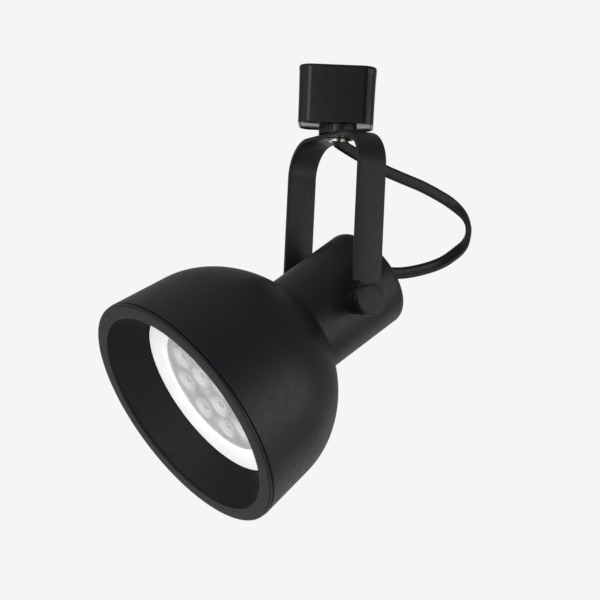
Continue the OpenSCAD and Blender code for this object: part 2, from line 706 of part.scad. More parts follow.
module cable_loop() color("#202021") at_yoke()
    flat_tube(cord_route, cord_w, cord_t, [0, -1], [-cos(tilt_angle), -sin(tilt_angle)]);

adapter_housing();
adapter_base_plate();
adapter_screws();
terminal_block();
terminal_screws();
adapter_leads();
contact_carriage();
thumb_tab();
live_contact();
neutral_contact();
ground_contact();
neck_collar();
stem_nipple();
stem_nut();
friction_washer();
lock_ring();
yoke_strap();
eye_bushes();
pivot_washers();
pivot_spacers();
pivot_nuts();
tilt_knob_near();
tilt_screw_near();
tilt_knob_far();
tilt_screw_far();
rear_can();
bell_shade();
trim_ring();
baffle();
trim_clips();
holder_bracket();
lamp_holder();
holder_screws();
socket_shell();
centre_contact();
holder_leads();
cable_gland();
gland_nut();
lamp_screw_cap();
lamp_tip_contact();
lamp_insulator();
lamp_body();
lamp_bezel();
lamp_lens();
led_board();
leds();
cable_loop();
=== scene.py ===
import json
import math

import bmesh
import bpy
from mathutils import Euler, Matrix, Vector


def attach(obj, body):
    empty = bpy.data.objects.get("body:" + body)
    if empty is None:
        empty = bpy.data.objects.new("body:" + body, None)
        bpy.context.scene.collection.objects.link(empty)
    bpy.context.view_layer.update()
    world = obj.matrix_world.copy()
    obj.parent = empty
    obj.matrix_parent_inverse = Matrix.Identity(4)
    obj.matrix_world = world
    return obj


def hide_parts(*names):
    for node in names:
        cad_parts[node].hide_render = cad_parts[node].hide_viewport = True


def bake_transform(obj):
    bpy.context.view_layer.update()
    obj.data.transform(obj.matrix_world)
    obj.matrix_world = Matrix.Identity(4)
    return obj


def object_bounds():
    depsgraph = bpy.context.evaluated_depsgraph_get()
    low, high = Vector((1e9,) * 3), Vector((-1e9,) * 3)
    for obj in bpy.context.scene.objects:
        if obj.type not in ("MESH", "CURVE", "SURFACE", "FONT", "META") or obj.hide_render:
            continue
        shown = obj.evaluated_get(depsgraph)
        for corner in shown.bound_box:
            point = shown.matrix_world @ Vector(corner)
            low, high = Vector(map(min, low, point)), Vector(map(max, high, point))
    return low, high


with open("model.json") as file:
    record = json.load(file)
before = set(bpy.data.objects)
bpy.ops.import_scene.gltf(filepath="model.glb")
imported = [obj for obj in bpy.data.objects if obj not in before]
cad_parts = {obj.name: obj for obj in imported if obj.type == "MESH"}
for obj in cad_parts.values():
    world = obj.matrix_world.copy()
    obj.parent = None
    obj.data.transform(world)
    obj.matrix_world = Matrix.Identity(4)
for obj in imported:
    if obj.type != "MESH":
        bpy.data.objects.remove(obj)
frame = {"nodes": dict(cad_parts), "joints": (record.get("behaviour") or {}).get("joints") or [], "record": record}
cad_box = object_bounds()

# ---------------------------------------------------------------- measures
# Metres, in the row's frame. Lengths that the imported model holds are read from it.
MM = 0.001
TINY = 1e-7
STEPS = 192                    # facets round a large lathed piece
SMALL_STEPS = 96               # facets round a small one
HOLE_STEPS = 48                # facets round a screw hole or a cup of the lens
CORNER_STEPS = 12              # facets round a corner of the adapter

joints = {j["name"]: j for j in frame["joints"]}
tilt = joints["tilt"]
pivot = Vector(tilt["pos_m"])
knob_axis = Vector(tilt["axis"])
pan = math.atan2(knob_axis.y, knob_axis.x)
droop = math.radians(-tilt["range_deg"][0])        # how far the head hangs below level at rest

# Two places to build in. In YOKE, X runs along the tilt axis to the near knob and Z is up. In
# HEAD, X is the same and Z runs back along the head's axis. Both have the tilt axis at 0.
YOKE = Matrix.Translation(pivot) @ Matrix.Rotation(pan, 4, "Z")
HEAD = YOKE @ Matrix.Rotation(droop - math.pi / 2, 4, "X")
HEAD_BACK = Vector((math.cos(droop), math.sin(droop)))    # the head's axis in the yoke's middle plane


def spans(node, place=Matrix()):
    """Lowest and highest corner of a CAD node, measured in a place."""
    inverse = place.inverted()
    points = [inverse @ v.co for v in frame["nodes"][node].data.vertices]
    return tuple(Vector(pick(axis) for axis in zip(*points)) for pick in (min, max))


# ---------------------------------------------------------------- camera
LENS = 129.9                   # millimetres on a 36 mm sensor
CAMERA_AT = Vector((24.89, -1125.24, -233.43)) * MM
CAMERA_TURN = (95.6013, -2.7226, 1.7331)     # degrees about X, Y and Z: its pitch, lean and heading


def make_camera():
    """A camera a good metre in front of the object, about level with its foot, that looks up a little."""
    data = bpy.data.cameras.new("camera")
    data.lens = LENS
    camera = bpy.data.objects.new("camera", data)
    turn = Euler([math.radians(angle) for angle in CAMERA_TURN])
    camera.matrix_world = Matrix.LocRotScale(CAMERA_AT, turn, None)
    bpy.context.scene.collection.objects.link(camera)
    bpy.context.scene.camera = camera


make_camera()


# ---------------------------------------------------------------- materials
def linear(level):
    """Linear value of an 8-bit sRGB level."""
    c = level / 255
    return c / 12.92 if c <= 0.04045 else ((c + 0.055) / 1.055) ** 2.4


def tone(red, green, blue):
    """A colour for a socket, from 8-bit sRGB levels."""
    return (linear(red), linear(green), linear(blue), 1)


def scaled(colour, factor):
    """A colour made lighter or darker by a factor."""
    return [level * factor for level in colour[:3]] + [1]


class Finish:
    """A node material: one Principled shader, with helpers that add detail to it."""

    NOISE_RANGE = (0.3, 0.7)       # where most of a noise's values lie

    def __init__(self, name, colour, roughness, **sockets):
        self.material = bpy.data.materials.new(name)
        self.material.use_nodes = True
        self.nodes = self.material.node_tree.nodes
        self.links = self.material.node_tree.links
        self.shader = self.nodes["Principled BSDF"]
        self.colour = colour
        self.set("Base Color", colour)
        self.set("Roughness", roughness)
        for key, value in sockets.items():
            self.set(key.replace("_", " "), value)

    def set(self, socket, value):
        """Sets a socket of the shader."""
        self.shader.inputs[socket].default_value = value

    def add(self, kind, **values):
        """A new node with its sockets or properties set by name."""
        node = self.nodes.new(kind)
        for key, value in values.items():
            if key in node.inputs:
                node.inputs[key].default_value = value
            else:
                setattr(node, key, value)
        return node

    def place(self, stretch=(1, 1, 1)):
        """The piece's own coordinates in millimetres, stretched if wanted."""
        coordinates = self.add("ShaderNodeTexCoord")
        scale = self.add("ShaderNodeMapping")
        scale.inputs["Scale"].default_value = [1000 * s for s in stretch]
        self.links.new(coordinates.outputs["Object"], scale.inputs["Vector"])
        return scale.outputs["Vector"]

    def noise(self, per_mm, detail, stretch=(1, 1, 1)):
        """Noise with a number of features per millimetre."""
        node = self.add("ShaderNodeTexNoise", Scale=per_mm, Detail=detail)
        self.links.new(self.place(stretch), node.inputs["Vector"])
        return node.outputs["Fac"]

    def spread(self, noise, low, high):
        """A noise mapped to a range of numbers."""
        start, end = self.NOISE_RANGE
        ends = {"From Min": start, "From Max": end, "To Min": low, "To Max": high}
        node = self.add("ShaderNodeMapRange", **ends)
        self.links.new(noise, node.inputs["Value"])
        return node.outputs["Result"]

    def vary_roughness(self, noise, low, high):
        """Lets the roughness wander between two values."""
        self.links.new(self.spread(noise, low, high), self.shader.inputs["Roughness"])

    def vary_colour(self, noise, other):
        """Lets the colour wander towards another one."""
        mix = self.add("ShaderNodeMix", data_type="RGBA")
        mix.inputs["A"].default_value = self.colour
        mix.inputs["B"].default_value = other
        self.links.new(self.spread(noise, 0, 1), mix.inputs["Factor"])
        self.links.new(mix.outputs["Result"], self.shader.inputs["Base Color"])

    def bump(self, noise, height_mm):
        """Adds fine relief on top of any relief that is there already."""
        node = self.add("ShaderNodeBump", Distance=height_mm * MM)
        self.links.new(noise, node.inputs["Height"])
        normal = self.shader.inputs["Normal"]
        if normal.links:
            self.links.new(normal.links[0].from_socket, node.inputs["Normal"])
        self.links.new(node.outputs["Normal"], normal)


def powder_coat(name, colour, roughness):
    """Fine matt powder coat: a tight grain, a slow orange peel and faint cloudiness."""
    finish = Finish(name, colour, roughness, Specular_IOR_Level=0.25)
    finish.vary_roughness(finish.noise(0.35, 3), roughness - 0.05, roughness + 0.06)
    finish.vary_colour(finish.noise(0.05, 2), scaled(colour, 1.18))
    finish.bump(finish.noise(5.0, 1), 0.010)
    finish.bump(finish.noise(1.1, 1), 0.005)
    return finish.material


def moulding(name, colour, roughness, grain, shine=0.4):
    """Moulded plastic: a faint grain, slow sink marks and slightly uneven gloss."""
    finish = Finish(name, colour, roughness, Specular_IOR_Level=shine)
    finish.vary_roughness(finish.noise(0.4, 2), roughness - 0.03, roughness + 0.05)
    finish.vary_colour(finish.noise(0.08, 2), scaled(colour, 1.12))
    finish.bump(finish.noise(3.0, 1), grain)
    return finish.material


def plated(name, colour, roughness, stretch=(1, 1, 1)):
    """Plated or brushed metal with fine scratches, all one way where they are stretched."""
    finish = Finish(name, colour, roughness, Metallic=1.0)
    scratches = finish.noise(1.5, 3, stretch)
    finish.vary_roughness(scratches, roughness - 0.06, roughness + 0.10)
    finish.vary_colour(finish.noise(0.3, 2), scaled(colour, 0.85))
    finish.bump(scratches, 0.003)
    return finish.material


def ceramic(name, colour):
    """Unglazed porcelain: chalky, with a fine pitted skin and faint warm stains."""
    finish = Finish(name, colour, 0.62)
    finish.vary_roughness(finish.noise(0.5, 3), 0.52, 0.72)
    finish.vary_colour(finish.noise(0.15, 4), scaled(colour, 0.88))
    finish.bump(finish.noise(4.0, 3), 0.012)
    return finish.material


def sheath(name, colour, other):
    """Flexible cord sheath: satin, slightly scuffed and faintly uneven."""
    finish = Finish(name, colour, 0.38, Specular_IOR_Level=0.25)
    finish.vary_roughness(finish.noise(0.3, 2), 0.34, 0.46)
    finish.vary_colour(finish.noise(0.2, 3), other)
    finish.bump(finish.noise(1.6, 1), 0.004)
    return finish.material


def moulded_lens(name, colour, other, roughness):
    """Moulded grey lens, seen against the white lamp behind it: glossy and slightly cloudy."""
    finish = Finish(name, colour, roughness, IOR=1.49)
    finish.vary_roughness(finish.noise(0.6, 2), roughness - 0.04, roughness + 0.06)
    finish.vary_colour(finish.noise(0.35, 3), other)
    finish.bump(finish.noise(0.5, 2), 0.03)
    return finish.material


def phosphor(name, colour, other):
    """The yellow coating of a light-emitting diode."""
    finish = Finish(name, colour, 0.5)
    finish.vary_colour(finish.noise(1.5, 2), other)
    return finish.material


# Every finish: who makes it, its colour and the maker's other values
RECIPES = {
    "adapter_plastic": (moulding, tone(18, 18, 22), 0.17, 0.0015, 0.22),
    "collar_plastic": (moulding, tone(21, 21, 22), 0.34, 0.005, 0.3),
    "black_paint": (powder_coat, tone(20, 20, 25), 0.41),
    # The black paint made lighter for the yoke and the knobs: painted light, standing in for the light that falls
    # on them
    "yoke_paint": (powder_coat, tone(24, 24, 29), 0.43),
    "baffle_paint": (powder_coat, tone(15, 15, 19), 0.62),
    "zinc_steel": (plated, tone(205, 206, 208), 0.30, (1, 1, 4)),
    "bright_plated": (plated, tone(222, 217, 205), 0.16),
    "contact_copper": (plated, tone(205, 140, 85), 0.24, (4, 1, 1)),
    "brass": (plated, tone(214, 176, 88), 0.26),
    "nylon": (moulding, tone(222, 219, 208), 0.42, 0.006),
    "porcelain": (ceramic, tone(236, 233, 224)),
    "block_plastic": (moulding, tone(228, 225, 213), 0.38, 0.006),
    "cord_sheath": (sheath, tone(10, 10, 13), tone(13, 13, 16)),
    "lamp_white": (moulding, tone(252, 252, 251), 0.34, 0.001),
    "lens_plastic": (moulded_lens, tone(184, 184, 184), tone(196, 196, 196), 0.20),
    "lens_cup": (moulded_lens, tone(199, 199, 199), tone(211, 211, 211), 0.26),
    "lens_window": (moulded_lens, tone(190, 189, 182), tone(176, 175, 168), 0.16),
    "cap_nickel": (plated, tone(205, 202, 192), 0.22),
    "insulator_black": (moulding, tone(20, 20, 20), 0.12, 0.002),
    "board_white": (moulding, tone(244, 244, 241), 0.45, 0.004),
    "phosphor": (phosphor, tone(232, 205, 96), tone(240, 222, 140)),
}
FINISHES = {name: make(name, *values) for name, (make, *values) in RECIPES.items()}


# ---------------------------------------------------------------- mesh tools
def arc(centre, radius, start, end, count):
    """Points on an arc, both ends included. Angles in radians."""
    turns = [start + (end - start) * k / count for k in range(count + 1)]
    return [(centre[0] + radius * math.cos(t), centre[1] + radius * math.sin(t)) for t in turns]


def circle(centre, radius, count):
    """Points round a circle."""
    return arc(centre, radius, 0, math.tau, count)[:-1]


def filleted(corners, fineness=24):
    """A closed outline whose corners are given as (x, y, radius)."""
    outline = []
    for k, (x, y, radius) in enumerate(corners):
        here = Vector((x, y))
        before = Vector(corners[k - 1][:2]) - here
        after = Vector(corners[(k + 1) % len(corners)][:2]) - here
        angle = before.angle(after, math.pi)
        if radius <= 0 or angle > math.pi - 0.01:
            outline.append((x, y))
            continue
        reach = min(radius / math.tan(angle / 2), 0.49 * before.length, 0.49 * after.length)
        radius = reach * math.tan(angle / 2)
        before.normalize()
        after.normalize()
        centre = here + (before + after).normalized() * (radius / math.sin(angle / 2))
        first = here + before * reach - centre
        last = here + after * reach - centre
        sweep = first.angle_signed(last)
        count = max(2, round(fineness * (math.pi - angle) / math.pi))
        for j in range(count + 1):
            turn = Matrix.Rotation(-sweep * j / count, 2)
            outline.append(tuple(centre + turn @ first))
    return outline


def lathe(outline, steps=STEPS):
    """A mesh turned about Z from an outline of (radius, z) points."""
    bm = bmesh.new()
    rings = []
    turns = [math.tau * k / steps for k in range(steps)]
    for radius, z in outline:
        places = turns[:1] if radius < TINY else turns
        rings.append([bm.verts.new((radius * math.cos(t), radius * math.sin(t), z)) for t in places])
    for a, b in zip(rings, rings[1:] + rings[:1]):
        if len(a) == len(b) == 1:
            continue
        for k in range(steps):
            corners = [a[k % len(a)], a[(k + 1) % len(a)], b[(k + 1) % len(b)], b[k % len(b)]]
            bm.faces.new(list(dict.fromkeys(corners)))
    return bm


def stack(loops):
    """A closed skin over a list of loops of 3-D points, all with the same number of points."""
    bm = bmesh.new()
    rings = [[bm.verts.new(p) for p in loop] for loop in loops]
    for a, b in zip(rings, rings[1:]):
        for k in range(len(a)):
            j = (k + 1) % len(a)
            bm.faces.new((a[k], a[j], b[j], b[k]))
    for end in (rings[0], rings[-1]):
        bm.faces.new(end)
    return bm


def plate(outer, holes, z_low, z_high):
    """A flat plate with holes, from outlines of (x, y) points."""
    bm = bmesh.new()
    edges = []
    for loop in [outer] + holes:
        verts = [bm.verts.new((x, y, z_low)) for x, y in loop]
        edges += [bm.edges.new((verts[k - 1], verts[k])) for k in range(len(verts))]
    bmesh.ops.triangle_fill(bm, edges=edges, use_beauty=True, use_dissolve=False)
    raised = bmesh.ops.extrude_face_region(bm, geom=bm.faces[:])
    verts = [g for g in raised["geom"] if isinstance(g, bmesh.types.BMVert)]
    bmesh.ops.translate(bm, verts=verts, vec=(0, 0, z_high - z_low))
    bmesh.ops.recalc_face_normals(bm, faces=bm.faces)
    return bm


def soften(bm, width):
    """Bevels every edge that turns by more than 50 degrees."""
    bmesh.ops.recalc_face_normals(bm, faces=bm.faces)
    sharp = [e for e in bm.edges if len(e.link_faces) == 2
             and e.calc_face_angle(0) > math.radians(50)]
    bmesh.ops.bevel(bm, geom=sharp, offset=width, segments=2, profile=0.5,
                    affect="EDGES", clamp_overlap=True)
    return bm


def prism(outline, z_low, z_high):
    """A solid prism over an outline of (x, y) points."""
    return stack([[(x, y, z) for x, y in outline] for z in (z_low, z_high)])


def carve(bm, cutters):
    """Cuts a list of meshes out of a mesh."""
    things = []
    for part in [bm] + cutters:
        bmesh.ops.recalc_face_normals(part, faces=part.faces)
        mesh = bpy.data.meshes.new("carving")
        part.to_mesh(mesh)
        part.free()
        things.append(bpy.data.objects.new("carving", mesh))
        bpy.context.scene.collection.objects.link(things[-1])
    for cutter in things[1:]:
        cut = things[0].modifiers.new("cut", "BOOLEAN")
        cut.object, cut.operation, cut.solver = cutter, "DIFFERENCE", "EXACT"
    graph = bpy.context.evaluated_depsgraph_get()
    graph.update()
    result = bmesh.new()
    result.from_mesh(things[0].evaluated_get(graph).to_mesh())
    for thing in things:
        mesh = thing.data
        bpy.data.objects.remove(thing)
        bpy.data.meshes.remove(mesh)
    return result


def moved(bm, place):
    """The same mesh, moved to a place."""
    bm.transform(place)
    return bm


def merged(parts):
    """One mesh of several."""
    whole = bmesh.new()
    for part in parts:
        mesh = bpy.data.meshes.new("part")
        part.to_mesh(mesh)
        part.free()
        whole.from_mesh(mesh)
        bpy.data.meshes.remove(mesh)
    return whole


def piece(name, bm, slot, body, node, place=Matrix(), sharp=32, finish=None):
    """Makes a finished object of a mesh, in place of a CAD node, and rides it on a body if given."""
    bmesh.ops.recalc_face_normals(bm, faces=bm.faces)
    bm.transform(place)
    mesh = bpy.data.meshes.new(name)
    bm.to_mesh(mesh)
    bm.free()
    mesh.shade_smooth()
    mesh.set_sharp_from_angle(angle=math.radians(sharp))
    mesh.materials.append(FINISHES[finish or slot])
    thing = bpy.data.objects.new(name, mesh)
    bpy.context.scene.collection.objects.link(thing)
    if body:
        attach(thing, body)
    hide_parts(node)
    return thing


def round_section(half_width, half_depth, radius):
    """A rounded rectangle as a loop of (x, y) points."""
    loop = []
    for sx, sy, start in ((1, 1, 0), (-1, 1, 0.5), (-1, -1, 1), (1, -1, 1.5)):
        centre = (sx * (half_width - radius), sy * (half_depth - radius))
        loop += arc(centre, radius, start * math.pi, (start + 0.5) * math.pi, CORNER_STEPS)
    return loop


# ---------------------------------------------------------------- cord
CORD_WIDTH = 6.3 * MM
CORD_THICK = 3.2 * MM
CORD_WEB = 0.96                # thickness of the web between its cores, as a share of the cord's
CORD_STEP = 1.2 * MM
CORD_IN_STEM = 2.6 * MM        # how far it goes on up inside the stem
CORD_IN_HEAD = 2 * MM          # and into the gland
CORD_FOOT = spans("stem_nipple")[0].z - pivot.z
# How the cord is twisted: millimetres along it, and degrees from lying flat across the yoke
CORD_TWIST = [(0, -95), (76, -95), (99, -30), (116, 70), (135, 88), (175, 90)]
# Route in the yoke's middle plane: millimetres behind the tilt axis and above it
CORD_ROUTE = [
    (0, CORD_FOOT / MM), (1.6, 85.4), (4.6, 84.1), (8.4, 82.5), (12.9, 80.8), (17.4, 79.1),
    (21.8, 77.5), (26.2, 75.8), (31, 74.2), (38, 72.4), (45.5, 70.6), (52.2, 69), (58.7, 67),
    (65.2, 64.7), (71.7, 62), (77.7, 58.5), (81.75, 55), (83.95, 50.8), (84.35, 47), (83.4, 43.2),
    (81.3, 39.4), (77.2, 35.3), (70.3, 30.2), (63.5, 26.8), (57, 24.4), (51, 22.6), (45, 21.2),
    (40, 20.5), (36, 20.3), (32, 20.6), (28.4, 20.5), (25.3, 19.27),
]


def smooth_route(points, step):
    """A Catmull-Rom curve through 2-D points, sampled about every step."""
    ends = [points[0] * 2 - points[1]] + points + [points[-1] * 2 - points[-2]]
    line = []
    for a, b, c, d in zip(ends, ends[1:], ends[2:], ends[3:]):
        count = max(1, round((c - b).length / step))
        for k in range(count):
            t = k / count
            line.append(0.5 * ((2 * b) + (c - a) * t + (2 * a - 5 * b + 4 * c - d) * t * t
                               + (3 * b - a - 3 * c + d) * t * t * t))
    return line + [points[-1]]


def cord_section():
    """The flat cord's outline across its width: two round cores joined by a thick web."""
    lobe = CORD_THICK / 2
    offset = CORD_WIDTH / 2 - lobe
    meet = math.asin(CORD_WEB)
    right = arc((offset, 0), lobe, meet - math.pi, math.pi - meet, 20)
    left = arc((-offset, 0), lobe, meet, math.tau - meet, 20)
    return [(x, y) for x, y in right if x >= TINY] + [(x, y) for x, y in left if x <= -TINY]


def twist_at(distance):
    """The cord's twist in radians at a distance along it."""
    for (d0, t0), (d1, t1) in zip(CORD_TWIST, CORD_TWIST[1:]):
        if distance <= d1 * MM:
            f = (distance / MM - d0) / (d1 - d0)
            f = f * f * (3 - 2 * f)
            return math.radians(t0 + (t1 - t0) * f)
    return math.radians(CORD_TWIST[-1][1])


def headings(route):
    """Which way the cord runs at each point: straight down at first, straight into the head last."""
    ways = [after - before for before, after in zip(route, route[2:])]
    ways[0] = route[2] - route[1]
    return [Vector((0, -1))] + ways + [-HEAD_BACK]


def cord_ring(section, point, ahead, turn):
    """The cord's outline at a point of the route, turned about the cord."""
    side = Vector((-ahead.y, ahead.x)).normalized()
    ring = []
    for x, t in section:
        across = x * math.cos(turn) - t * math.sin(turn)
        along = x * math.sin(turn) + t * math.cos(turn)
        ring.append((across, point.x + side.x * along, point.y + side.y * along))
    return ring


def make_cord():
    """The flat cord from the stem's foot to the head's rear face."""
    route = smooth_route([Vector(p) * MM for p in CORD_ROUTE], CORD_STEP)
    route = [Vector((0, CORD_FOOT + CORD_IN_STEM))] + route + [route[-1] - HEAD_BACK * CORD_IN_HEAD]
    section = cord_section()
    loops = []
    distance = 0
    for before, point, ahead in zip(route[:1] + route, route, headings(route)):
        distance += (point - before).length
        loops.append(cord_ring(section, point, ahead, twist_at(distance)))
    cord = piece("flat_cord", stack(loops), "cord_sheath", None, "cable_loop", YOKE, 60)
    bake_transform(cord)


make_cord()

# ---------------------------------------------------------------- head
can_low, can_high = spans("rear_can", HEAD)
can_r, neck, can_rear = can_high.x, can_low.z, can_high.z
bell_low, bell_high = spans("bell_shade", HEAD)
mouth_r, mouth = bell_high.x, bell_low.z
ring_low, ring_high = spans("trim_ring", HEAD)
baffle_low, baffle_high = spans("baffle", HEAD)
bezel_low, bezel_high = spans("lamp_bezel", HEAD)
lens_low, lens_high = spans("lamp_lens", HEAD)

CAN_WALL = 1.2 * MM
CAN_EDGE = 5 * MM                        # radius of the can's rear edge
BELL_WALL = 1.4 * MM
BELL_LIP = 0.35 * MM                     # rounding of the bell's front edge
BELL_STEPS = 72                          # rings along the bell, closer together towards its neck
SLEEVE = 7 * MM                          # length of the bell's neck inside the can
DOME_START = -69 * MM                    # where the bell starts to close, along the head's axis
MOUTH_TAPER = 0.1207                     # how much radius the bell loses per length of its flare
RING_IN = 57.1 * MM                      # inner radius of the front ring and of the baffle's mouth
RING_T = 2 * MM                          # thickness of the ring's flat front
RING_INSET = 0.13 * MM                   # how far the ring stays inside the bell's edge
SPIGOT_R = 62.6 * MM                     # the ring's spigot, which goes into the bell
SPIGOT_IN = 60.8 * MM
BAFFLE_FLANGE = 60.7 * MM                # outer radius of the baffle's flange, inside the spigot
BAFFLE_T = 1 * MM
BEZEL_IN = 36 * MM                       # inner radius of the lamp's white ring


def flare(s):
    """The bell's radius at a place along the head's axis, if it only tapered."""
    return mouth_r - MOUTH_TAPER * (s - mouth)


DOME_LENGTH = (neck - DOME_START) / math.sqrt(1 - (can_r / flare(neck)) ** 2)


def bell_radius(s):
    """The bell's outer radius: a straight flare times a quarter ellipse."""
    return flare(s) * math.sqrt(1 - (max(0, s - DOME_START) / DOME_LENGTH) ** 2)


def make_can():
    """The cylindrical rear housing, open towards the bell."""
    inner_r, inner_rear = can_r - CAN_WALL, can_rear - CAN_WALL
    outline = filleted([
        (0, can_rear, 0), (can_r, can_rear, CAN_EDGE), (can_r, neck, 0.3 * MM),
        (inner_r, neck, 0.3 * MM), (inner_r, inner_rear, CAN_EDGE - CAN_WALL), (0, inner_rear, 0)], 40)
    piece("can_shell", lathe(outline), "black_paint", "head", "rear_can", HEAD)


def make_bell():
    """The bell: a thin shell with a rounded front edge and a sleeve that goes into the can."""
    depth = neck - mouth
    stations = [mouth + depth * (1 - (1 - k / BELL_STEPS) ** 1.5) for k in range(BELL_STEPS + 1)]
    outer = [(bell_radius(s), s) for s in stations]
    inner = []
    for k, (r, s) in enumerate(outer[:-1]):
        near, far = outer[max(k - 1, 0)], outer[k + 1]
        along = Vector((far[0] - near[0], far[1] - near[1])).normalized()
        inner.append((r - BELL_WALL * along.y, s + BELL_WALL * along.x))
    inner[0] = (inner[0][0], mouth)
    edge_r = outer[0][0]
    rim = [(edge_r - BELL_LIP, mouth), (edge_r - BELL_LIP * 0.3, mouth + BELL_LIP * 0.3)]
    outer[0] = (edge_r - 0.02 * MM, mouth + BELL_LIP)
    step, sleeve_r, end = neck + 0.2 * MM, can_r - CAN_WALL, neck + SLEEVE
    back = [(can_r, step), (sleeve_r, step), (sleeve_r, end), (sleeve_r - CAN_WALL, end),
            (sleeve_r - CAN_WALL, neck - BELL_WALL)]
    outline = rim + outer + back + inner[::-1]
    piece("bell_shell", lathe(outline), "black_paint", "head", "bell_shade", HEAD)


def make_trim_ring():
    """The flat front ring, with the spigot behind it."""
    front, back, end = ring_low.z, ring_low.z + RING_T, ring_high.z
    edge_r = mouth_r - RING_INSET
    outline = filleted([
        (RING_IN, front, 0.35 * MM), (edge_r, front, 1.1 * MM), (edge_r, back, 0.35 * MM),
        (SPIGOT_R, back, 0.1 * MM), (SPIGOT_R, end, 0.3 * MM),
        (SPIGOT_IN, end, 0.3 * MM), (SPIGOT_IN, back, 0.1 * MM), (RING_IN, back, 0.1 * MM)])
    piece("front_ring", lathe(outline), "black_paint", "head", "trim_ring", HEAD)


def make_baffle():
    """The black cone between the front ring and the lamp, held by a flange at its mouth."""
    front, back = baffle_low.z, baffle_high.z + 0.5 * MM
    flange_back = front + BAFFLE_T
    small = bezel_high.x + 0.1 * MM
    outline = filleted([
        (RING_IN, front, 0), (BAFFLE_FLANGE, front, 0.2 * MM), (BAFFLE_FLANGE, flange_back, 0.2 * MM),
        (RING_IN + BAFFLE_T, flange_back, 0.8 * MM), (small + BAFFLE_T, back, 0.3 * MM),
        (small, back, 0.4 * MM)])
    piece("baffle_cone", lathe(outline), "baffle_paint", "head", "baffle", HEAD)


def make_bezel():
    """The lamp's wide white ring, slightly dished, which curls in to the lens."""
    front, back, outer = bezel_low.z, bezel_high.z, bezel_high.x
    outline = filleted([
        (BEZEL_IN, back, 0.3 * MM), (outer, back, 0.6 * MM), (outer, front, 0.4 * MM),
        (BEZEL_IN + 1.8 * MM, front + 1.0 * MM, 1.5 * MM), (BEZEL_IN, front + 2.1 * MM, 0.4 * MM)])
    piece("lamp_ring", lathe(outline), "lamp_white", "head", "lamp_bezel", HEAD)


LENS_T = 1.5 * MM
CUP_R = 6.5 * MM
CUP_DEPTH = 1.3 * MM
CUP_STEPS = 13                           # rings down the side of a cup
WINDOW_R = 1.7 * MM                      # radius of the small window at a cup's foot
CUP_TURN = math.radians(-4)              # where each ring of cups starts
CUP_RINGS = ((9, 24.5 * MM), (3, 10.2 * MM))     # how many cups, and how far from the middle


def cup_places():
    """The middle of each cup on the lens."""
    return [Vector((r * math.cos(CUP_TURN + math.tau * k / count),
                    r * math.sin(CUP_TURN + math.tau * k / count), 0))
            for count, r in CUP_RINGS for k in range(count)]


def on_every_cup(outline):
    """One mesh with an outline turned about the middle of each cup."""
    return merged([moved(lathe(outline, HOLE_STEPS), Matrix.Translation(c)) for c in cup_places()])


def make_lens():
    """The lamp's lens: a plate with twelve round cups sunk in it, each with a small window."""
    front, radius = lens_low.z, lens_high.x
    holes = [circle(c, CUP_R + 0.2 * MM, HOLE_STEPS) for c in cup_places()]
    bm = plate(circle((0, 0), radius, STEPS), holes, front, front + LENS_T)
    piece("lens_plate", soften(bm, 0.12 * MM), "lens_plastic", "head", "lamp_lens", HEAD)
    floor, foot = front + CUP_DEPTH, front + CUP_DEPTH + 0.5 * MM
    lip_r, wall_r = CUP_R + 0.3 * MM, CUP_R - 0.1 * MM
    bowl = [(lip_r, front + 0.2 * MM), (CUP_R + 0.26 * MM, front - 0.08 * MM),
            (CUP_R + 0.1 * MM, front - 0.2 * MM), (wall_r, front - 0.15 * MM)]
    for k in range(1, CUP_STEPS):
        f = k / CUP_STEPS
        bowl.append((wall_r + (WINDOW_R - CUP_R) * f, front + CUP_DEPTH * math.sin(f * math.pi / 2)))
    bowl += [(WINDOW_R, floor), (WINDOW_R, foot), (lip_r, foot)]
    piece("lens_cups", on_every_cup(bowl), "lens_plastic", "head", "lamp_lens", HEAD, finish="lens_cup")
    edge = WINDOW_R * 0.95
    window = [(0, floor - 0.5 * MM), (WINDOW_R * 0.6, floor - 0.42 * MM), (edge, floor),
              (edge, floor + 0.4 * MM), (0, floor + 0.4 * MM)]
    piece("lens_windows", on_every_cup(window), "lens_plastic", "head", "lamp_lens", HEAD,
          finish="lens_window")


make_can()
make_bell()
make_trim_ring()
make_baffle()
make_bezel()
make_lens()


# ---------------------------------------------------------------- yoke
strap_low, strap_high = spans("yoke_strap", YOKE)
LEG = strap_high.x                       # outer face of a leg
CROSSBAR = strap_high.z                  # top of the crossbar
STRAP_T = 2 * MM
STRAP_W = strap_high.y - strap_low.y
BEND = 19 * MM                           # outer radius of the strap's two bends
SHOULDER = 9.7 * MM                      # from the eye's middle up to the square shoulders
TONGUE_W = 8 * MM                        # width between the shoulders and the eye
EYE_R = -strap_low.z
BUSH_R = 3.4 * MM                        # radius of the hole in each eye, for its bush
STEM_HOLE_R = spans("stem_nipple", YOKE)[1].x + 0.06 * MM
MIDDLE = BEND - STRAP_T / 2              # bend radius half way through the strap
FLAT = LEG - STRAP_T / 2 - MIDDLE        # half the crossbar, up to the bend
BEND_RUN = MIDDLE * math.pi / 2          # length of a bend, half way through the strap
BEND_STEPS = 24


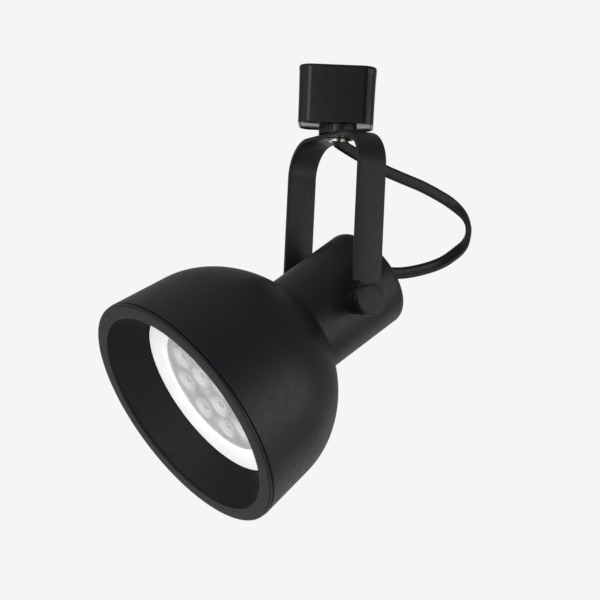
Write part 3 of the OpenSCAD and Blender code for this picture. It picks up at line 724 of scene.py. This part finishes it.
def strap_blank():
    """The strap before it is bent: a long plate along X with an eye at each end."""
    end = FLAT + BEND_RUN + (CROSSBAR - STRAP_T / 2 - MIDDLE)    # the eye's middle
    shoulder = end - SHOULDER
    meet = math.acos(TONGUE_W / 2 / EYE_R)         # where the tongue runs into the eye
    half = filleted([(0, -STRAP_W / 2, 0), (shoulder, -STRAP_W / 2, 0.5 * MM),
                     (shoulder, -TONGUE_W / 2, 0.6 * MM), (end, -TONGUE_W / 2, 0),
                     (end, TONGUE_W / 2, 0), (shoulder, TONGUE_W / 2, 0.6 * MM),
                     (shoulder, STRAP_W / 2, 0.5 * MM), (0, STRAP_W / 2, 0)])
    half = [p for p in half if TINY < p[0] < end - TINY]    # without the ends, which only close it
    lower = [p for p in half if p[1] < 0]
    upper = [p for p in half if p[1] > 0]
    eye = arc((end, 0), EYE_R, meet - math.pi, math.pi - meet, 40)
    side = lower + eye + upper
    outer = side + [(-x, -y) for x, y in side]
    holes = [circle((x, 0), r, HOLE_STEPS) for x, r in ((0, STEM_HOLE_R), (end, BUSH_R), (-end, BUSH_R))]
    return soften(plate(outer, holes, -STRAP_T / 2, STRAP_T / 2), 0.25 * MM)


def bent(bm):
    """The flat strap, cut across its two bends and bent down into a yoke."""
    cuts = [FLAT + BEND_RUN * k / BEND_STEPS for k in range(BEND_STEPS + 1)]
    for x in cuts + [-x for x in cuts]:
        bmesh.ops.bisect_plane(bm, geom=bm.verts[:] + bm.edges[:] + bm.faces[:], dist=TINY,
                               plane_co=(x, 0, 0), plane_no=(1, 0, 0))
    for v in bm.verts:
        side = 1 if v.co.x >= 0 else -1
        along, y, up = abs(v.co.x), v.co.y, v.co.z
        if along <= FLAT:
            x, z = along, CROSSBAR - STRAP_T / 2 + up
        elif along <= FLAT + BEND_RUN:
            turn = (along - FLAT) / MIDDLE
            x = FLAT + (MIDDLE + up) * math.sin(turn)
            z = CROSSBAR - BEND + (MIDDLE + up) * math.cos(turn)
        else:
            x, z = LEG - STRAP_T / 2 + up, CROSSBAR - BEND - (along - FLAT - BEND_RUN)
        v.co = (side * x, y, z)
    return bm


def make_strap():
    """The yoke, in the black paint made a little lighter: painted light, for the light that falls on it."""
    piece("bent_strap", bent(strap_blank()), "black_paint", "yoke", "yoke_strap", YOKE, 40, "yoke_paint")


def make_knobs():
    """The two thumb knobs: plain drums with a slightly crowned face."""
    low, high = spans("tilt_knob_near", YOKE)
    radius, face, back = high.y, high.x, low.x
    crown = 0.25 * MM
    outline = filleted([(0, face, 0), (radius * 0.5, face - crown * 0.2, 6 * MM),
                        (radius, face - crown, 1.1 * MM), (radius, back, 0.35 * MM), (0, back, 0)])
    for side, turn in (("near", math.pi / 2), ("far", -math.pi / 2)):
        place = YOKE @ Matrix.Rotation(turn, 4, "Y")
        # The knobs wear the black paint made lighter: painted light, for the light that falls on them
        piece("knob_" + side, lathe(outline, SMALL_STEPS), "black_paint", side + "_knob",
              "tilt_knob_" + side, place, finish="yoke_paint")


def make_spacers():
    """The round bosses between the can and the yoke's legs, sunk a little into the can's curve."""
    radius, end = spans("pivot_spacers", YOKE)[1].yx
    bore = 2.56 * MM
    start = can_r - 0.9 * MM
    outline = filleted([(bore, start, 0), (radius, start, 0), (radius, end, 0.4 * MM),
                        (bore, end, 0.2 * MM)])
    both = merged([moved(lathe(outline, SMALL_STEPS), Matrix.Rotation(turn, 4, "Y"))
                   for turn in (math.pi / 2, -math.pi / 2)])
    piece("head_bosses", both, "black_paint", "head", "pivot_spacers", YOKE)


make_strap()
make_knobs()
make_spacers()

# ---------------------------------------------------------------- adapter
box_low, box_high = spans("adapter_housing")
plate_low, plate_high = spans("adapter_base_plate")
tab_low, tab_high = spans("thumb_tab")
rod_low, rod_high = spans("stem_nipple")
lift = joints["contact_lift"]["range_m"][1]

TOP = 2.4 * MM                           # thickness of the box's top
WALL = 1.8 * MM                          # thickness of its sides
AIR = 0.4 * MM                           # air round what slides in the box
TAB_T = 2.5 * MM                         # height of the thumb tab's neck in the slot
BOX_CORNER = 7 * MM
BASE_CORNER = 4.9 * MM
# The box's outside from its top down, in millimetres: how far it stands out from its widest
# outline, and its height. A rounded lip at the top, a slight draft below it and a rounded foot.
BOX_PROFILE = [
    (-1.0, 0), (-0.5, -0.12), (-0.15, -0.45), (0, -1.0), (-0.05, -2.0), (-0.18, -3.2), (-0.25, -5),
    (-0.4, -12), (-0.55, -20), (-0.66, -30.1), (-0.7, -30.4), (-0.8, -30.6), (-0.95, -30.7),
]
SCREWS_AT = ((-13.6 * MM, -8 * MM), (13.6 * MM, 8 * MM))


def post_openings():
    """The two openings that the contact posts rise through."""
    half_w, half_d, apart = 4.7 * MM + AIR, 4.5 * MM + AIR, 10.5 * MM
    outline = filleted([(-half_w, -half_d, AIR), (half_w, -half_d, AIR), (half_w, half_d, AIR),
                        (-half_w, half_d, AIR)], 8)
    return [prism([(x + middle, y) for x, y in outline], -3 * MM, MM) for middle in (-apart, apart)]


def screw_openings():
    """Counterbored holes for the two screws that hold the box together."""
    seat, head_r, shank_r = -1.6 * MM, 2.2 * MM, 1.2 * MM
    outline = [(0, -3 * MM), (shank_r, -3 * MM), (shank_r, seat), (head_r, seat),
               (head_r, -0.3 * MM), (head_r + 0.7 * MM, 0.4 * MM), (0, 0.4 * MM)]
    return [moved(lathe(outline, HOLE_STEPS), Matrix.Translation((x, y, 0))) for x, y in SCREWS_AT]


def tab_slot():
    """The slot in the far wall that the thumb tab slides in."""
    half_w, gap = tab_high.x + AIR, 0.3 * MM
    inside, outside = box_high.y - WALL - MM, box_high.y + MM
    outline = [(-half_w, inside), (half_w, inside), (half_w, outside), (-half_w, outside)]
    return prism(outline, tab_low.z - gap, tab_low.z + TAB_T + lift + gap)


def box_loop(half_w, half_d, corner, out, z):
    """A rounded rectangle at a height, moved outwards by a distance."""
    return [(x, y, z) for x, y in round_section(half_w + out, half_d + out, corner + out)]


def make_housing():
    """The adapter's box: polished outside, hollow from below, with its openings cut in it."""
    size = (box_high.x, box_high.y, BOX_CORNER)
    foot = box_low.z
    loops = [box_loop(*size, out * MM, z * MM) for out, z in BOX_PROFILE]
    for out, z in ((0.12 * MM - WALL, foot), (-WALL, foot + 0.12 * MM), (-WALL, -TOP)):
        loops.append(box_loop(*size, out, z))
    bm = carve(stack(loops), post_openings() + screw_openings() + [tab_slot()])
    piece("adapter_shell", bm, "adapter_plastic", "adapter", "adapter_housing", sharp=40)


def make_base():
    """The inset plate under the box, with a hole for the stem."""
    size = (plate_high.x, plate_high.y, BASE_CORNER)
    foot = plate_low.z
    profile = ((-0.25, 0), (-0.07, 0.07), (0, 0.25), (0, 2))
    loops = [box_loop(*size, out * MM, foot + z * MM) for out, z in profile]
    stem_x, stem_r = (rod_low.x + rod_high.x) / 2, (rod_high.x - rod_low.x) / 2
    hole = prism(circle((stem_x, 0), stem_r, 64), foot - MM, foot + 3 * MM)
    bm = carve(stack(loops), [hole])
    piece("base_cover", bm, "adapter_plastic", "adapter", "adapter_base_plate", sharp=40)


make_housing()
make_base()

# ---------------------------------------------------------------- CAD nodes that stay
def finish_cad_nodes():
    """Gives each CAD node that is still seen the finish of its own slot."""
    for row in frame["record"]["subparts"]:
        thing = frame["nodes"][row["node"]]
        if not thing.hide_render:
            thing.data.materials.clear()
            thing.data.materials.append(FINISHES[row["material_slot"]])


finish_cad_nodes()

# ---------------------------------------------------------------- studio
FLOOR_Z = cad_box[0].z - 1.0             # a metre below the object, which hangs from its track
FLOOR_R = 15
BACKDROP = linear(245)


def make_floor():
    """A plain pale floor that the camera sees and that throws no light on the object."""
    bm = bmesh.new()
    bmesh.ops.create_circle(bm, cap_ends=True, segments=128, radius=FLOOR_R)
    bm.transform(Matrix.Translation((0, 0, FLOOR_Z)))
    mesh = bpy.data.meshes.new("floor")
    bm.to_mesh(mesh)
    bm.free()
    floor = bpy.data.objects.new("floor", mesh)
    finish = Finish("floor_paper", (0, 0, 0, 1), 1.0, Specular_IOR_Level=0)
    finish.set("Emission Color", (1, 1, 1, 1))
    finish.set("Emission Strength", BACKDROP)
    mesh.materials.append(finish.material)
    for ray in ("visible_diffuse", "visible_glossy", "visible_transmission"):
        setattr(floor, ray, False)
    bpy.context.scene.collection.objects.link(floor)


# Soft light by direction: where it comes from, how strong, and how tightly it is gathered
EVEN_LIGHT = 0.02
LIGHT_FROM = [
    ((-1, -1, -1), 1.56, 2),             # below, in front, on the left
    ((0, 0, -1), 0.2, 2),                # below
    ((1, 0, -1), 0.35, 2),               # below, on the right
    ((1, 0, 0), 0.3, 2),                 # on the right
    ((-1, -1, 1), 0.4, 2),               # above, in front, on the left
    ((-1, 0, 1), 0.28, 2),               # above, on the left
    ((0, 1, 0), 0.26, 2),                # behind
    ((0, 0, 1), 0.16, 2),                # above
    ((-0.25, 0.95, -0.2), 0.75, 10),     # behind, a little below and on the left
]


def make_world():
    """Plain pale surroundings for the camera, and soft light from several sides for the object."""
    world = bpy.data.worlds.new("studio")
    world.use_nodes = True
    tree = world.node_tree
    nodes, links = tree.nodes, tree.links
    nodes.clear()

    def math_node(operation, *values):
        node = nodes.new("ShaderNodeMath")
        node.operation = operation
        for socket, value in zip(node.inputs, values):
            if isinstance(value, (int, float)):
                socket.default_value = value
            else:
                links.new(value, socket)
        return node.outputs[0]

    direction = nodes.new("ShaderNodeTexCoord").outputs["Generated"]
    total = EVEN_LIGHT
    for towards, strength, power in LIGHT_FROM:
        dot = nodes.new("ShaderNodeVectorMath")
        dot.operation = "DOT_PRODUCT"
        dot.inputs[1].default_value = Vector(towards).normalized()
        links.new(direction, dot.inputs[0])
        lobe = math_node("POWER", math_node("MAXIMUM", dot.outputs["Value"], 0.0), power)
        total = math_node("ADD", math_node("MULTIPLY", lobe, strength), total)
    seen = nodes.new("ShaderNodeLightPath").outputs["Is Camera Ray"]
    background = nodes.new("ShaderNodeBackground")
    mix = nodes.new("ShaderNodeMix")
    links.new(seen, mix.inputs["Factor"])
    links.new(total, mix.inputs["A"])
    mix.inputs["B"].default_value = BACKDROP
    background.inputs["Color"].default_value = (1, 1, 1, 1)
    links.new(mix.outputs["Result"], background.inputs["Strength"])
    output = nodes.new("ShaderNodeOutputWorld")
    links.new(background.outputs[0], output.inputs["Surface"])
    bpy.context.scene.world = world


def softbox(name, at, aim, width, height, watts):
    """A rectangular soft light at a place, turned to what it lights."""
    data = bpy.data.lights.new(name, "AREA")
    data.shape = "RECTANGLE"
    data.size, data.size_y = width, height
    data.energy = watts
    light = bpy.data.objects.new(name, data)
    light.location = at
    light.rotation_euler = (Vector(aim) - Vector(at)).to_track_quat("-Z", "Y").to_euler()
    bpy.context.scene.collection.objects.link(light)


ADAPTER_AT = (0, 0, -0.05)
HEAD_AT = (0, 0, -0.12)

make_floor()
make_world()
softbox("softbox_left", (-0.68, -1.88, 0.05), ADAPTER_AT, 0.70, 1.2, 9.0)
softbox("strip_right", (1.45, -1.35, 0.05), ADAPTER_AT, 0.10, 1.2, 1.5)
softbox("softbox_right", (1.9, -0.6, -0.255), HEAD_AT, 1.6, 1.19, 12.2)
softbox("softbox_back", (1.2, 1.5, -0.7), HEAD_AT, 1.0, 1.0, 1.1)
bpy.context.scene.view_settings.view_transform = "Standard"
